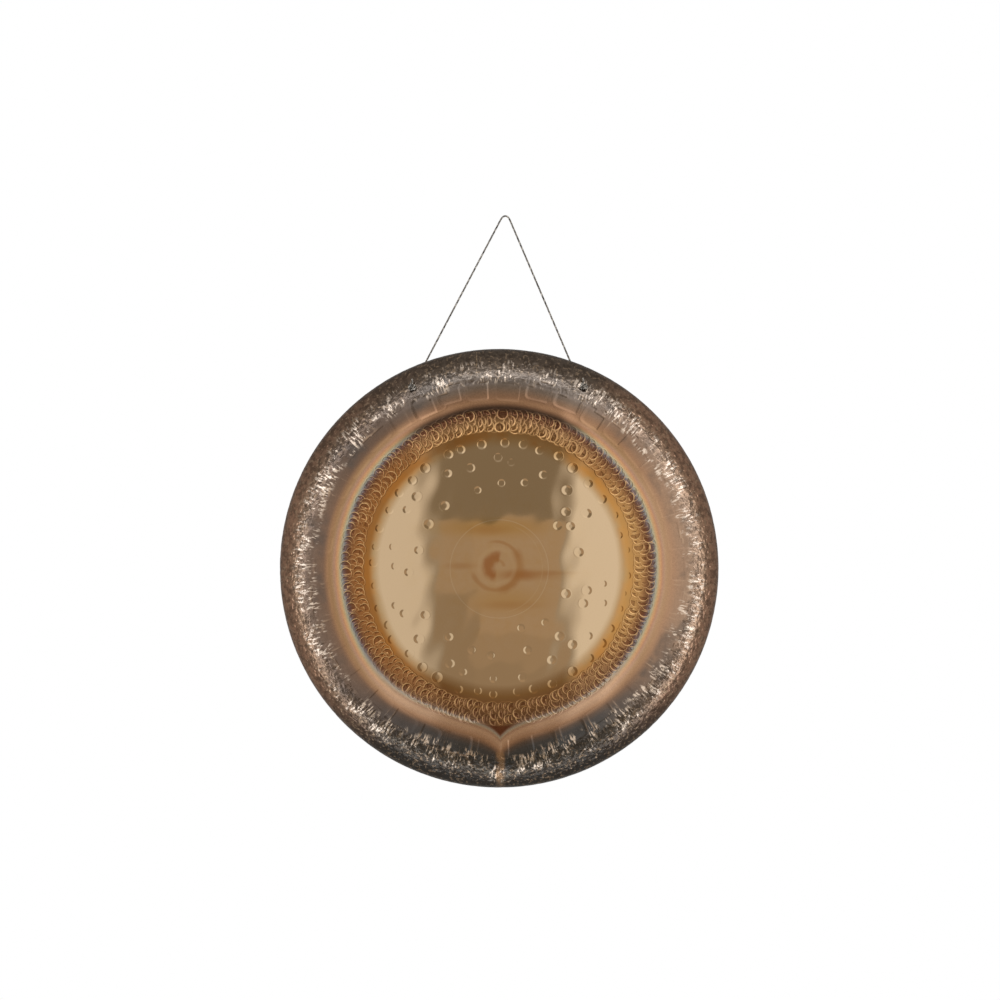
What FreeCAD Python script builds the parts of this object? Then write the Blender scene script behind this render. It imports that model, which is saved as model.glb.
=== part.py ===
"""A 24 inch tam tam gong on its hanging cord, one STEP file for each piece.

The gong is one shell of hammered bronze: a nearly flat face, a rounded shoulder and a short rim
that is turned back. A thin cord hangs it up. The cord is knotted in front of a hole in the
shoulder, goes through it, runs up inside the rim and over the rim's back edge to the hook, and
comes down to the other hole the same way.

Row frame: the origin is the underside of the cord's bend, where the hook bears. +Z is up, the
face looks towards -Y, and -X is the side of the longer leg.

Gong frame: the origin is the front of the face at its centre. +Y goes into the gong, and +Z
points up between the two holes.
"""

import FreeCAD, Part
import math
import os

from FreeCAD import Placement, Rotation, Vector

# The bronze shell, in millimetres.
GONG_RADIUS = 305.0
GONG_DEPTH = 47.0
WALL = 1.6
DOME_RADIUS = 4000.0        # the face is very slightly domed
SHOULDER_START = 252.0      # distance from the centre where the dome turns into the shoulder
SHOULDER_RADIUS = 85.0
CORNER_RADIUS = 22.0
RIM_LEAN = 4.0              # degrees that the rim leans inwards towards its back edge
HOLE_DIAMETER = 5.0

# The cord and its knots.
CORD_DIAMETER = 2.5
CORD_RADIUS = CORD_DIAMETER / 2.0
KNOT_GAP = 0.1              # between a knot and the shoulder that it pulls against
KNOT_WRAPS = [(3.9, 1.25), (5.0, 3.3), (4.9, 5.5), (3.4, 7.4)]     # each turn's radius and height
KNOT_HEIGHT = 4.5           # from the shoulder to the middle of the knot
LOOSE_END = 13.0            # from the middle of a knot to the tip of its loose end

# How the gong hangs.
HANG_TILT = 7.4             # degrees; it brings the centre of mass under the swing line
HANG_TURN = 1.35            # degrees in the gong's own plane, as one leg is longer than the other
SWING_POINT = Vector(-6.8, 0.0, -205.5)     # the middle of the swing line
LEG_GAP = 2.0               # from the swing line to where the hanging cord's own solid begins
BEND_SHARE = 0.45           # how much of the shorter run beside it each bend of the cord may use

# The cord's route. It is one route in two frames: a tail in the gong frame, from the middle of the
# knot to the swing line, drawn for the right side and mirrored for the left, then the points of
# the bend round the hook in the row frame.
TAIL_ROUTE = [
    Vector(118.4, 9.0, 251.6),      # the middle of the knot, in front of the hole
    Vector(116.3, 22.1, 247.2),     # behind the hole, where the cord turns up
    Vector(102.0, 48.6, 284.3),     # the rim's back edge
    Vector(100.3, 49.0, 287.9),     # the swing line
]
HOOK_ROUTE = [
    Vector(-3.9, 0.0, CORD_RADIUS),
    Vector(3.9, 0.0, CORD_RADIUS),
]


def shell_outline(inset):
    """Half of the shell's section, from the axis to the rim, as edges in the XY plane."""
    start = math.asin(SHOULDER_START / DOME_RADIUS)
    dome_centre = Vector(0.0, DOME_RADIUS, 0.0)
    shoulder_centre = on_circle(dome_centre, DOME_RADIUS - SHOULDER_RADIUS, start)
    reach = GONG_RADIUS - CORNER_RADIUS - shoulder_centre.x
    turn = math.asin(reach / (SHOULDER_RADIUS - CORNER_RADIUS))
    corner_centre = on_circle(shoulder_centre, SHOULDER_RADIUS - CORNER_RADIUS, turn)
    rim = math.radians(90.0 + RIM_LEAN)

    edges = [
        arc(dome_centre, DOME_RADIUS - inset, 0.0, start),
        arc(shoulder_centre, SHOULDER_RADIUS - inset, start, turn),
        arc(corner_centre, CORNER_RADIUS - inset, turn, rim),
    ]
    rim_start = on_circle(corner_centre, CORNER_RADIUS - inset, rim)
    rim_run = GONG_DEPTH - rim_start.y
    rim_end = Vector(rim_start.x + rim_run / math.tan(rim), GONG_DEPTH, 0.0)
    edges.append(Part.LineSegment(rim_start, rim_end).toShape())
    return edges, rim_end


def on_circle(centre, radius, slope):
    """The point of a circle where its tangent has this slope, on the side away from +Y."""
    return centre + Vector(radius * math.sin(slope), -radius * math.cos(slope), 0.0)


def arc(centre, radius, first_slope, last_slope):
    middle_slope = (first_slope + last_slope) / 2.0
    points = [on_circle(centre, radius, slope) for slope in (first_slope, middle_slope, last_slope)]
    return Part.Arc(*points).toShape()


def make_shell():
    """The bronze shell in the gong frame, with its two cord holes."""
    front, front_end = shell_outline(0.0)
    back, back_end = shell_outline(WALL)
    closing = [
        Part.LineSegment(front_end, back_end).toShape(),
        Part.LineSegment(Vector(0.0, WALL, 0.0), Vector(0.0, 0.0, 0.0)).toShape(),
    ]
    section = Part.Face(Part.Wire(Part.__sortEdges__(front + back + closing)))
    shell = section.revolve(Vector(0.0, 0.0, 0.0), Vector(0.0, 1.0, 0.0), 360.0)
    for route in tail_routes():
        drill_run = route[1] - route[0]
        drill = Part.makeCylinder(HOLE_DIAMETER / 2.0, drill_run.Length, route[0], drill_run)
        shell = shell.cut(drill)
    return shell


def tail_routes():
    """The left and the right tail's route in the gong frame."""
    left = [Vector(-point.x, point.y, point.z) for point in TAIL_ROUTE]
    return [left, TAIL_ROUTE]


def gong_placement():
    """Where the gong frame stands in the row frame while the gong hangs at rest."""
    tilt = Rotation(Vector(1.0, 0.0, 0.0), HANG_TILT)
    turn = Rotation(Vector(0.0, 1.0, 0.0), -HANG_TURN)
    rotation = turn.multiply(tilt)
    swing_line = TAIL_ROUTE[-1]
    middle = rotation.multVec(Vector(0.0, swing_line.y, swing_line.z))
    return Placement(SWING_POINT - middle, rotation)


def step_towards(start, end, distance):
    direction = end - start
    return start + direction * (distance / direction.Length)


def tube_path(points):
    """Straight runs joined by tangent arcs, each as large as its two runs allow."""
    edges = []
    start = points[0]
    for before, corner, after in zip(points, points[1:], points[2:]):
        turn = (corner - before).getAngle(after - corner)
        tangent = BEND_SHARE * min((corner - before).Length, (after - corner).Length)
        radius = tangent / math.tan(turn / 2.0)
        print(f"  bend of {math.degrees(turn):.1f} degrees, radius {radius:.1f} mm")
        arc_start = step_towards(corner, before, tangent)
        arc_end = step_towards(corner, after, tangent)
        inward = (before - corner).normalize() + (after - corner).normalize()
        depth = radius / math.cos(turn / 2.0) - radius
        arc_middle = corner + inward.normalize() * depth
        edges.append(Part.LineSegment(start, arc_start).toShape())
        edges.append(Part.Arc(arc_start, arc_middle, arc_end).toShape())
        start = arc_end
    edges.append(Part.LineSegment(start, points[-1]).toShape())
    return Part.Wire(edges)


def make_cord(points):
    """A round cord along a route, checked against its section times its length."""
    path = tube_path(points)
    circle = Part.makeCircle(CORD_RADIUS, points[0], points[1] - points[0])
    cord = path.makePipeShell([Part.Wire(circle)], True, True)
    section_times_length = math.pi * CORD_RADIUS ** 2 * path.Length
    print(f"  length {path.Length:.1f} mm, volume ratio {cord.Volume / section_times_length:.4f}")
    return cord


def make_hanging_cord(swing_ends):
    """Both legs and the bend round the hook, in the row frame."""
    left_end, right_end = swing_ends
    first = step_towards(left_end, HOOK_ROUTE[0], LEG_GAP)
    last = step_towards(right_end, HOOK_ROUTE[-1], LEG_GAP)
    return make_cord([first] + HOOK_ROUTE + [last])


def make_tail(route):
    """The cord from its knot to the swing line, where it ends in a ball that the line goes through."""
    knot_base = step_towards(route[0], route[1], KNOT_HEIGHT - KNOT_GAP)
    tail = make_cord([knot_base] + route[1:])
    return tail.fuse(Part.makeSphere(CORD_RADIUS, route[-1]))


def knot_outline():
    """Half of the knot's section, the outside of its turns of cord, as edges in the XZ plane."""
    turns = [Vector(radius, 0.0, height) for radius, height in KNOT_WRAPS]
    base = Vector(turns[0].x, 0.0, 0.0)
    top = turns[-1] + Vector(0.0, 0.0, CORD_RADIUS)
    valleys = [valley(lower, upper) for lower, upper in zip(turns, turns[1:])]
    edges = [Part.LineSegment(Vector(0.0, 0.0, 0.0), base).toShape()]
    for turn, start, end in zip(turns, [base] + valleys, valleys + [top]):
        outward = (start - turn) + (end - turn)
        crest = turn + outward.normalize() * CORD_RADIUS
        edges.append(Part.Arc(start, crest, end).toShape())
    top_centre = Vector(0.0, 0.0, top.z)
    edges.append(Part.LineSegment(top, top_centre).toShape())
    edges.append(Part.LineSegment(top_centre, Vector(0.0, 0.0, 0.0)).toShape())
    return edges


def valley(lower, upper):
    """Where two neighbouring turns of cord cross on the outside of the knot."""
    half = (upper - lower) * 0.5
    outward = Vector(half.z, 0.0, -half.x).normalize()
    return lower + half + outward * math.sqrt(CORD_RADIUS ** 2 - half.Length ** 2)


def make_knot(route):
    """A stopper knot: turns of cord on top of each other, with a loose end that stands up."""
    into_hole = (route[1] - route[0]).normalize()
    section = Part.Face(Part.Wire(knot_outline()))
    knot = section.revolve(Vector(0.0, 0.0, 0.0), Vector(0.0, 0.0, 1.0), 360.0)
    base = route[0] + into_hole * (KNOT_HEIGHT - KNOT_GAP)
    stand = Placement(base, Rotation(Vector(0.0, 0.0, 1.0), into_hole * -1.0))
    knot.transformShape(stand.toMatrix(), True)

    up = Vector(0.0, 0.0, 1.0)
    along_face = (up - into_hole * up.dot(into_hole)).normalize()
    tip = route[0] + along_face * (LOOSE_END - CORD_RADIUS)
    loose_end = Part.makeCylinder(CORD_RADIUS, (tip - route[0]).Length, route[0], along_face)
    return knot.fuse([loose_end, Part.makeSphere(CORD_RADIUS, tip)])


def save(node, shape):
    solids = shape.Solids
    if len(solids) != 1 or not solids[0].isValid():
        raise RuntimeError(f"{node} is not one valid solid")
    solids[0].exportStep(f"parts/{node}.step")
    print(f"{node}: {shape.Volume / 1000.0:.2f} cm3, faces {len(shape.Faces)}")


def main():
    os.makedirs("parts", exist_ok=True)
    placement = gong_placement()
    shell = make_shell()
    shell.transformShape(placement.toMatrix(), True)
    save("gong_disc", shell)
    centre = shell.Solids[0].CenterOfMass
    print(f"  centre of mass at {centre.x:.2f}, {centre.y:.2f}, {centre.z:.2f}")

    swing_ends = []
    for side, route in zip(("left", "right"), tail_routes()):
        placed = [placement.multVec(point) for point in route]
        swing_ends.append(placed[-1])
        save(f"{side}_cord_tail", make_tail(placed))
        save(f"{side}_knot", make_knot(placed))
        end = placed[-1]
        print(f"  {side} swing end at {end.x:.3f}, {end.y:.3f}, {end.z:.3f}")
    save("hanging_cord", make_hanging_cord(swing_ends))


main()
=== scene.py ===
"""The looks of a 24 inch tam tam gong that hangs on a braided cord.

Row frame, in metres: the origin is the underside of the cord's bend at the hook, +Z is up, and the
face looks towards -Y. Gong frame: the origin is the front of the face at its centre, +Y goes into
the gong, and +Z points up between the two cord holes.
"""

import math

import bpy
import numpy as np
from mathutils import Matrix, Vector


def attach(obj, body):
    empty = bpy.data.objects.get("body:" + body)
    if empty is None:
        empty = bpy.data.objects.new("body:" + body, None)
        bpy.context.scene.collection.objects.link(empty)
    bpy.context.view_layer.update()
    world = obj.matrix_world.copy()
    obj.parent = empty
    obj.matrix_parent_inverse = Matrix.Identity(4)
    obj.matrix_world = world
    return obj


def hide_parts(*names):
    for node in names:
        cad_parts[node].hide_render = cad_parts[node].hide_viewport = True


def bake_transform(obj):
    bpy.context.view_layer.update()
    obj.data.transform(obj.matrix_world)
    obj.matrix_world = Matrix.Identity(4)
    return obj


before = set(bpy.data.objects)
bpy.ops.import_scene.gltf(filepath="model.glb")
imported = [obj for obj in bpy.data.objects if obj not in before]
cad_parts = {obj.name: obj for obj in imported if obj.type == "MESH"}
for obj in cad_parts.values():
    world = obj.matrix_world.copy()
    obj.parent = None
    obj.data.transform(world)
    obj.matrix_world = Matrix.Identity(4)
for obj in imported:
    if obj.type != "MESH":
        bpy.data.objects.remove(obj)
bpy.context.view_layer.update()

MM = 0.001

# How the gong hangs.
HANG_TILT = math.radians(7.4)
HANG_TURN = math.radians(1.35)
SWING_POINT = Vector((-6.8, 0.0, -205.5)) * MM
SWING_LINE_Y = 49.0 * MM
SWING_LINE_Z = 287.9 * MM

gong_turn = Matrix.Rotation(-HANG_TURN, 4, "Y") @ Matrix.Rotation(HANG_TILT, 4, "X")
gong_origin = SWING_POINT - gong_turn @ Vector((0.0, SWING_LINE_Y, SWING_LINE_Z))
GONG = Matrix.Translation(gong_origin) @ gong_turn


# Camera.

CAMERA_DISTANCE = 4.0
CAMERA_RISE = 94.8 * MM
CAMERA_SIDE = 1.1 * MM
CAMERA_LEAN = math.radians(1.016)
SENSOR_WIDTH = 36.0
VIEW_WIDTH = 1.3895                 # metres across the picture, at the gong's outline
OUTLINE_DEPTH = 41.0 * MM


def make_camera():
    forward = gong_turn.to_3x3() @ Vector((0.0, 1.0, 0.0))
    level_up = Vector((0.0, 0.0, 1.0))
    level_up = (level_up - forward * level_up.dot(forward)).normalized()
    level_side = forward.cross(level_up)
    up = level_up * math.cos(CAMERA_LEAN) - level_side * math.sin(CAMERA_LEAN)
    side = forward.cross(up)
    data = bpy.data.cameras.new("camera")
    data.sensor_width = SENSOR_WIDTH
    data.lens = SENSOR_WIDTH * (CAMERA_DISTANCE + OUTLINE_DEPTH) / VIEW_WIDTH
    camera = bpy.data.objects.new("camera", data)
    bpy.context.scene.collection.objects.link(camera)
    place = gong_origin + side * CAMERA_SIDE + up * CAMERA_RISE - forward * CAMERA_DISTANCE
    turn = Matrix((side, up, -forward)).transposed()
    camera.matrix_world = Matrix.Translation(place) @ turn.to_4x4()
    bpy.context.scene.camera = camera
    return place, side, up, forward


camera_place, camera_side, camera_up, camera_forward = make_camera()


# Meshes.


def link_mesh(name, points, quads, triangles=None, materials=(), face_materials=None, crest=None):
    """A smooth object from numpy arrays of points, quads and triangles."""
    mesh = bpy.data.meshes.new(name)
    quads = np.asarray(quads, np.int32).reshape(-1, 4)
    if triangles is None:
        triangles = np.zeros((0, 3), np.int32)
    triangles = np.asarray(triangles, np.int32).reshape(-1, 3)
    corners = np.concatenate([quads.ravel(), triangles.ravel()])
    sizes = np.concatenate([np.full(len(quads), 4), np.full(len(triangles), 3)])
    starts = np.concatenate([[0], np.cumsum(sizes)[:-1]])
    mesh.vertices.add(len(points))
    mesh.vertices.foreach_set("co", np.asarray(points, np.float32).ravel())
    mesh.loops.add(len(corners))
    mesh.loops.foreach_set("vertex_index", corners.astype(np.int32))
    mesh.polygons.add(len(sizes))
    mesh.polygons.foreach_set("loop_start", starts.astype(np.int32))
    mesh.polygons.foreach_set("use_smooth", np.ones(len(sizes), bool))
    for material in materials:
        mesh.materials.append(material)
    if face_materials is not None:
        mesh.polygons.foreach_set("material_index", np.asarray(face_materials, np.int32))
    if crest is not None:
        attribute = mesh.attributes.new("crest", "FLOAT", "POINT")
        attribute.data.foreach_set("value", crest.astype(np.float32))
    mesh.update(calc_edges=True)
    mesh.validate()
    thing = bpy.data.objects.new(name, mesh)
    bpy.context.scene.collection.objects.link(thing)
    return thing


# The cord's route: one tail in the gong frame, drawn for the right side, and the bend at the hook.

KNOT_HEIGHT = 4.5 * MM
HOOK_REACH = 15.0 * MM              # 6 diameters: the straight run's own point beside the hook

KNOT_MIDDLE = Vector((118.4, 9.0, 251.6)) * MM
BEHIND_HOLE = Vector((116.3, 22.1, 247.2)) * MM
RIM_EDGE = Vector((102.0, 48.6, 284.3)) * MM
SWING_END = Vector((100.3, 49.0, 287.9)) * MM
HOOK_LEFT = Vector((-3.9, 0.0, 1.25)) * MM
HOOK_RIGHT = Vector((3.9, 0.0, 1.25)) * MM


def mirrored(point):
    return Vector((-point.x, point.y, point.z))


def step_towards(start, end, distance):
    return start + (end - start).normalized() * distance


def tail_points(flip):
    """From the middle of the knot to the swing line, in the row frame."""
    tail = [
        KNOT_MIDDLE,
        BEHIND_HOLE,
        step_towards(BEHIND_HOLE, RIM_EDGE, (KNOT_MIDDLE - BEHIND_HOLE).length),
        step_towards(RIM_EDGE, BEHIND_HOLE, (SWING_END - RIM_EDGE).length),
        RIM_EDGE,
        SWING_END,
    ]
    return [GONG @ (mirrored(point) if flip else point) for point in tail]


def leg_points(swing_end, hook):
    """The two points on a leg's long straight run."""
    short_run = (SWING_END - RIM_EDGE).length
    return [step_towards(swing_end, hook, short_run), step_towards(hook, swing_end, HOOK_REACH)]


def cord_route():
    left = tail_points(True)
    right = tail_points(False)
    left_leg = leg_points(left[-1], HOOK_LEFT)
    right_leg = leg_points(right[-1], HOOK_RIGHT)
    return left + left_leg + [HOOK_LEFT, HOOK_RIGHT] + right_leg[::-1] + right[::-1]


def curve_points(route):
    """The points of the NURBS spline that has the route as its control points."""
    curve = bpy.data.curves.new("cord_route", "CURVE")
    curve.dimensions = "3D"
    spline = curve.splines.new("NURBS")
    spline.points.add(len(route) - 1)
    for control, point in zip(spline.points, route):
        control.co = (*point, 1.0)
    spline.order_u = 3
    spline.use_endpoint_u = True
    spline.resolution_u = 48
    thing = bpy.data.objects.new("cord_route", curve)
    bpy.context.scene.collection.objects.link(thing)
    line = bpy.data.meshes.new_from_object(thing)
    points = np.array([vertex.co[:] for vertex in line.vertices])
    bpy.data.objects.remove(thing)
    bpy.data.meshes.remove(line)
    bpy.data.curves.remove(curve)
    return points


def evenly(points, spacing):
    """The same line with its points a fixed distance apart."""
    steps = np.linalg.norm(np.diff(points, axis=0), axis=1)
    keep = np.concatenate([[True], steps > 1e-7])
    points = points[keep]
    along = np.concatenate([[0.0], np.cumsum(np.linalg.norm(np.diff(points, axis=0), axis=1))])
    count = max(2, int(round(along[-1] / spacing)) + 1)
    wanted = np.linspace(0.0, along[-1], count)
    return np.stack([np.interp(wanted, along, points[:, k]) for k in range(3)], axis=1), wanted


def carried_frames(points):
    """Tangents and two normals that don't spin about the line."""
    tangents = np.gradient(points, axis=0)
    tangents /= np.linalg.norm(tangents, axis=1)[:, None]
    first = np.cross(tangents[0], [0.0, 0.0, 1.0])
    if np.linalg.norm(first) < 0.1:
        first = np.cross(tangents[0], [1.0, 0.0, 0.0])
    normals = np.zeros_like(points)
    normals[0] = first / np.linalg.norm(first)
    for i in range(1, len(points)):
        carried = normals[i - 1] - tangents[i] * normals[i - 1].dot(tangents[i])
        normals[i] = carried / np.linalg.norm(carried)
    return tangents, normals, np.cross(tangents, normals)


# The braid: eight yarns, four each way, over and under each other round a thin core.

BRAID_PITCH = 10.0 * MM
YARNS_EACH_WAY = 4
YARN_RING = 0.78 * MM               # from the cord's centreline to the middle of a yarn
YARN_WAVE = 0.13 * MM               # how far a yarn goes out and in as it crosses the others
YARN_HALF_WIDTH = 0.60 * MM
YARN_HALF_THICK = 0.38 * MM
YARN_SIDES = 7
CORE_RADIUS = 0.70 * MM
CORD_STEP = 0.45 * MM               # from one ring of a yarn's points to the next
KNOT_STEP = 0.4 * MM
YARN_COLOURS = [0, 0, 1, 2, 2, 1, 1, 2]     # which of the three yarn colours each yarn has


def around(count):
    """The indices of the points of a ring, and of the point after each."""
    indices = np.arange(count)
    return indices, (indices + 1) % count


def swept(centres, across, outward, half_width, half_thick, sides):
    """A closed tube of elliptic section along a line."""
    turns = np.linspace(0.0, 2.0 * math.pi, sides, endpoint=False)
    rings = (
        centres[:, None, :]
        + across[:, None, :] * (half_width * np.cos(turns))[None, :, None]
        + outward[:, None, :] * (half_thick * np.sin(turns))[None, :, None]
    )
    points = np.concatenate([rings.reshape(-1, 3), centres[:1], centres[-1:]])
    count = len(centres)
    i, j = np.meshgrid(np.arange(count - 1), np.arange(sides), indexing="ij")
    k = (j + 1) % sides
    quads = np.stack([i * sides + j, i * sides + k, (i + 1) * sides + k, (i + 1) * sides + j], axis=-1)
    side, after = around(sides)
    start, end = count * sides, count * sides + 1
    last = (count - 1) * sides
    caps = [
        np.stack([after, side, np.full(sides, start)], axis=-1),
        np.stack([last + side, last + after, np.full(sides, end)], axis=-1),
    ]
    return points, quads.reshape(-1, 4), np.concatenate(caps)


def braid(name, centreline, spacing, materials):
    """A braided cord as one mesh of its yarns and a core."""
    points, along = evenly(centreline, spacing)
    tangents, normals, binormals = carried_frames(points)
    tubes, colours = [], YARN_COLOURS + [0]
    turn = 2.0 * math.pi * along / BRAID_PITCH
    for yarn in range(2 * YARNS_EACH_WAY):
        direction = 1.0 if yarn < YARNS_EACH_WAY else -1.0
        angle = direction * turn + yarn % YARNS_EACH_WAY * 2.0 * math.pi / YARNS_EACH_WAY
        wave = direction * YARN_WAVE * np.cos(YARNS_EACH_WAY * turn)
        outward = normals * np.cos(angle)[:, None] + binormals * np.sin(angle)[:, None]
        centres = points + outward * (YARN_RING + wave)[:, None]
        run = np.gradient(centres, axis=0)
        run /= np.linalg.norm(run, axis=1)[:, None]
        across = np.cross(run, outward)
        across /= np.linalg.norm(across, axis=1)[:, None]
        lifted = np.cross(across, run)
        tubes.append(swept(centres, across, lifted, YARN_HALF_WIDTH, YARN_HALF_THICK, YARN_SIDES))
    tubes.append(swept(points, normals, binormals, CORE_RADIUS, CORE_RADIUS, YARN_SIDES))
    tube_points, tube_quads, tube_triangles = zip(*tubes)
    firsts = np.cumsum([0] + [len(part) for part in tube_points])
    quads, triangles = [
        np.concatenate([part + first for part, first in zip(parts, firsts)])
        for parts in (tube_quads, tube_triangles)
    ]
    face_colours = [
        np.repeat(colours, [len(part) for part in parts]) for parts in (tube_quads, tube_triangles)
    ]
    return link_mesh(name, np.concatenate(tube_points), quads, triangles, materials,
                     np.concatenate(face_colours))


# Material nodes.


class Nodes:
    """A node tree with short calls for what its recipe needs."""

    def __init__(self, tree):
        self.nodes, self.links = tree.nodes, tree.links

    def put(self, socket, value):
        if isinstance(value, bpy.types.NodeSocket):
            self.links.new(value, socket)
        elif isinstance(value, tuple) and len(value) == 3 and socket.type == "RGBA":
            socket.default_value = (*value, 1.0)
        else:
            socket.default_value = value

    def add(self, kind, **inputs):
        """A new node with these settings and inputs."""
        node = self.nodes.new(kind)
        for name, value in inputs.items():
            if hasattr(node, name):
                setattr(node, name, value)
            else:
                self.put(node.inputs[name.replace("_", " ")], value)
        return node

    def math(self, operation, *values):
        node = self.add("ShaderNodeMath", operation=operation)
        for socket, value in zip(node.inputs, values):
            self.put(socket, value)
        return node.outputs[0]

    def times(self, first, *others):
        for other in others:
            first = self.math("MULTIPLY", first, other)
        return first

    def plus(self, first, second):
        return self.math("ADD", first, second)

    def minus(self, first, second):
        return self.math("SUBTRACT", first, second)

    def distance(self, first, second):
        return self.math("SQRT", self.plus(self.times(first, first), self.times(second, second)))

    def spread(self, value, size):
        """A value from 0 to 1 turned into a shift of up to half a size either way."""
        return self.times(self.minus(value, 0.5), size)

    def smooth(self, value, low, high):
        """0 below low, 1 above high, and smooth between them; falling if low is above high."""
        node = self.add("ShaderNodeMapRange", interpolation_type="SMOOTHSTEP", Value=value,
                        From_Min=min(low, high), From_Max=max(low, high),
                        To_Min=float(low > high), To_Max=float(low < high))
        return node.outputs["Result"]

    def band(self, value, low, low_full, high_full, high):
        """1 between low_full and high_full, falling to 0 at low and high."""
        return self.times(self.smooth(value, low, low_full), self.smooth(value, high, high_full))

    def mix(self, factor, first, second, blend="MIX"):
        node = self.add("ShaderNodeMix", data_type="RGBA", blend_type=blend)
        self.put(node.inputs[0], factor)
        self.put(node.inputs[6], first)
        self.put(node.inputs[7], second)
        return node.outputs[2]

    def noise(self, vector, scale, detail=2.0, roughness=0.5):
        return self.add("ShaderNodeTexNoise", Vector=vector, Scale=scale, Detail=detail,
                        Roughness=roughness).outputs["Fac"]

    def ramp(self, value, stops):
        node = self.nodes.new("ShaderNodeValToRGB")
        elements = node.color_ramp.elements
        while len(elements) > 1:
            elements.remove(elements[0])
        elements[0].position = stops[0][0]
        elements[0].color = (*stops[0][1], 1.0)
        for position, colour in stops[1:]:
            elements.new(position).color = (*colour, 1.0)
        self.put(node.inputs["Fac"], value)
        return node.outputs["Color"]

    def xyz(self, x, y, z):
        node = self.nodes.new("ShaderNodeCombineXYZ")
        for socket, value in zip(node.inputs, (x, y, z)):
            self.put(socket, value)
        return node.outputs[0]

    def coordinates(self, kind="Object"):
        return self.nodes.new("ShaderNodeTexCoord").outputs[kind]


class Shader(Nodes):
    """A material, whose last node is its Principled BSDF."""

    def __init__(self, name):
        self.material = bpy.data.materials.new(name)
        self.material.use_nodes = True
        super().__init__(self.material.node_tree)
        self.bsdf = self.nodes["Principled BSDF"]

    def set(self, name, value):
        self.put(self.bsdf.inputs[name], value)

    def bump(self, height, distance, strength=1.0):
        node = self.add("ShaderNodeBump", Height=height, Distance=distance, Strength=strength)
        self.set("Normal", node.outputs["Normal"])


def srgb(red, green, blue):
    """A colour given as 0 to 255 screen values."""
    def linear(value):
        value /= 255.0
        return value / 12.92 if value <= 0.04045 else ((value + 0.055) / 1.055) ** 2.4
    return linear(red), linear(green), linear(blue)


def yarn_material(name, dark, light):
    """Fibres of one yarn: fine light and dark ones, and flecks a few millimetres long."""
    shader = Shader(name)
    place = shader.coordinates()
    fibres = shader.noise(place, 2600.0, detail=3.0, roughness=0.7)
    patches = shader.noise(place, 260.0, detail=1.0)
    tone = shader.plus(shader.times(fibres, 0.6), shader.times(patches, 0.6))
    flecks = shader.ramp(patches, [(0.40, (0.50, 0.50, 0.51)), (0.54, (1.12, 1.12, 1.12))])
    colour = shader.ramp(tone, [(0.35, dark), (0.85, light)])
    shader.set("Base Color", shader.mix(1.0, colour, flecks, "MULTIPLY"))
    shader.set("Roughness", 0.85)
    shader.set("Sheen Weight", 0.25)
    shader.set("Specular IOR Level", 0.25)
    shader.bump(fibres, 0.12 * MM, 0.6)
    return shader.material


yarns = [
    yarn_material("yarn_black", srgb(22, 21, 20), srgb(66, 62, 58)),
    yarn_material("yarn_white", srgb(196, 190, 182), srgb(240, 236, 230)),
    yarn_material("yarn_grey", srgb(128, 122, 114), srgb(186, 179, 169)),
]

cord_line = curve_points(cord_route())
cord = braid("braided_cord", cord_line, CORD_STEP, yarns)

KNOT_RING = 3.3 * MM                # from the knot's middle to the middle of its three lobes
KNOT_LOBE = 1.55 * MM               # how far the cord weaves in and out about that ring
KNOT_FIRST_TURN = 0.42              # in radians, where the overhand's loop starts and ends
KNOT_LAST_TURN = 2.0 * math.pi - 0.30
KNOT_SMOOTHINGS = 6

# The cord before and after that loop: up, into the hole and aside, from the knot's middle.
KNOT_ENTRY = [(0.0, KNOT_HEIGHT + 1.0 * MM, 0.0), (0.0, 2.2 * MM, 0.0)]
KNOT_LOOSE_END = [(6.0 * MM, -0.4 * MM, 0.0), (11.2 * MM, 0.0, -0.6 * MM)]


def knot_line(flip):
    """An overhand knot in front of the hole, with its loose end standing up along the shoulder."""
    middle, behind = KNOT_MIDDLE, BEHIND_HOLE
    if flip:
        middle, behind = mirrored(middle), mirrored(behind)
    inwards = (behind - middle).normalized()
    up = Vector((0.0, 0.0, 1.0))
    up = (up - inwards * up.dot(inwards)).normalized()
    side = inwards.cross(up)
    turns = np.linspace(KNOT_FIRST_TURN, KNOT_LAST_TURN, 120)
    ring = KNOT_RING + KNOT_LOBE * np.cos(3.0 * turns)
    local = np.stack([
        ring * np.sin(2.0 * turns),
        ring * np.cos(2.0 * turns),
        KNOT_LOBE * np.sin(3.0 * turns),
    ], axis=1)
    basis = np.array([side[:], up[:], (-inwards)[:]])
    return middle, inwards, up, side, np.array(middle[:]) + local @ basis


def make_knot(name, flip):
    middle, inwards, up, side, loop = knot_line(flip)
    entry, loose_end = [
        [(middle + up * rise + inwards * depth + side * aside)[:] for rise, depth, aside in offsets]
        for offsets in (KNOT_ENTRY, KNOT_LOOSE_END)
    ]
    rough = np.concatenate([entry, loop, loose_end])
    rough = np.array([(GONG @ Vector(point))[:] for point in rough])
    fine, _ = evenly(rough, KNOT_STEP)
    for _ in range(KNOT_SMOOTHINGS):
        fine[1:-1] = (fine[:-2] + fine[1:-1] * 2.0 + fine[2:]) / 4.0
    return braid(name, fine, KNOT_STEP, yarns)


left_knot = make_knot("knot_left", True)
right_knot = make_knot("knot_right", False)

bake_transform(cord)
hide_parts("hanging_cord", "left_cord_tail", "right_cord_tail")
for knot, node in ((left_knot, "left_knot"), (right_knot, "right_knot")):
    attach(knot, "gong")
    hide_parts(node)


# The bronze shell.

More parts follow.
